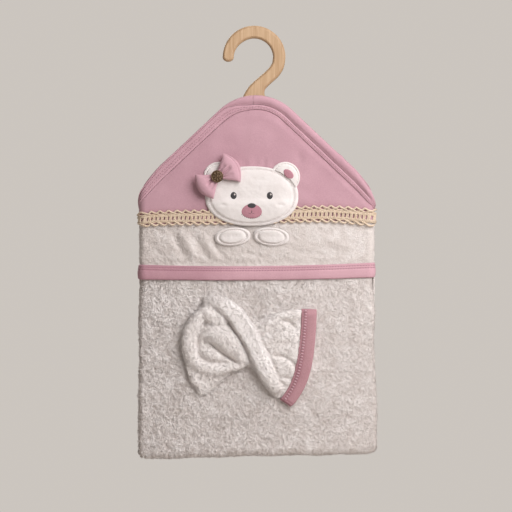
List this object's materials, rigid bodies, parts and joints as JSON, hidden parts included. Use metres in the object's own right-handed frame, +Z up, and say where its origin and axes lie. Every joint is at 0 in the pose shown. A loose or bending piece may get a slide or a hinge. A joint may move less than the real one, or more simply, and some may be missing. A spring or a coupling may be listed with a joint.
{
  "type": "hooded baby towel on a wooden hanger",
  "caption": "Square terry baby towel with a pink hood, lace trim and sewn bear, folded flat on a wooden hook hanger, with a twisted wash mitt tacked to its front",
  "frame": {"origin": "the crown of the hook's inner edge, midway through the hook's thickness, where the hook sits on a peg or rail", "axes": "+Z up along the hanging length, +X to the right as seen from the front, front face towards -Y"},
  "size_m": [0.3529, 0.0506, 0.6355],
  "materials": {
    "wood": "light bamboo or beech, fine straight grain, satin",
    "terry": "warm white cotton terry, looped pile",
    "pink_cotton": "dusty pink combed cotton, matt",
    "pink_binding": "deeper pink cotton binding, matt, two rows of stitches",
    "lace": "cream cotton lace braid",
    "plush": "short white plush",
    "pink_felt": "pink cotton patch with stitched rim",
    "thread": "dark grey satin-stitch thread",
    "button": "dark antique bronze colour, worn"
  },
  "bodies": {
    "root": {"hanger": "wood", "towel_cloth": "terry", "hidden_layers": "terry", "edge_binding_left": "pink_cotton", "edge_binding_right": "pink_cotton", "back_binding_left": "pink_cotton", "back_binding_right": "pink_cotton", "hood_edge_band": "pink_cotton", "hood_top_panel": "pink_cotton", "hood_terry_strip": "terry", "hood_opening_band": "pink_binding", "lace_trim": "lace", "bear_head": "plush", "bear_ear_left": "plush", "bear_ear_right": "plush", "bear_inner_ear": "pink_felt", "bear_paw_left": "plush", "bear_paw_right": "plush", "bear_muzzle": "pink_felt", "bear_eye_left": "thread", "bear_eye_right": "thread", "bear_nose": "thread", "bow": "pink_cotton", "bow_button": "button", "wash_mitt": "terry", "mitt_cuff_binding": "pink_binding"}
  },
  "joints": []
}
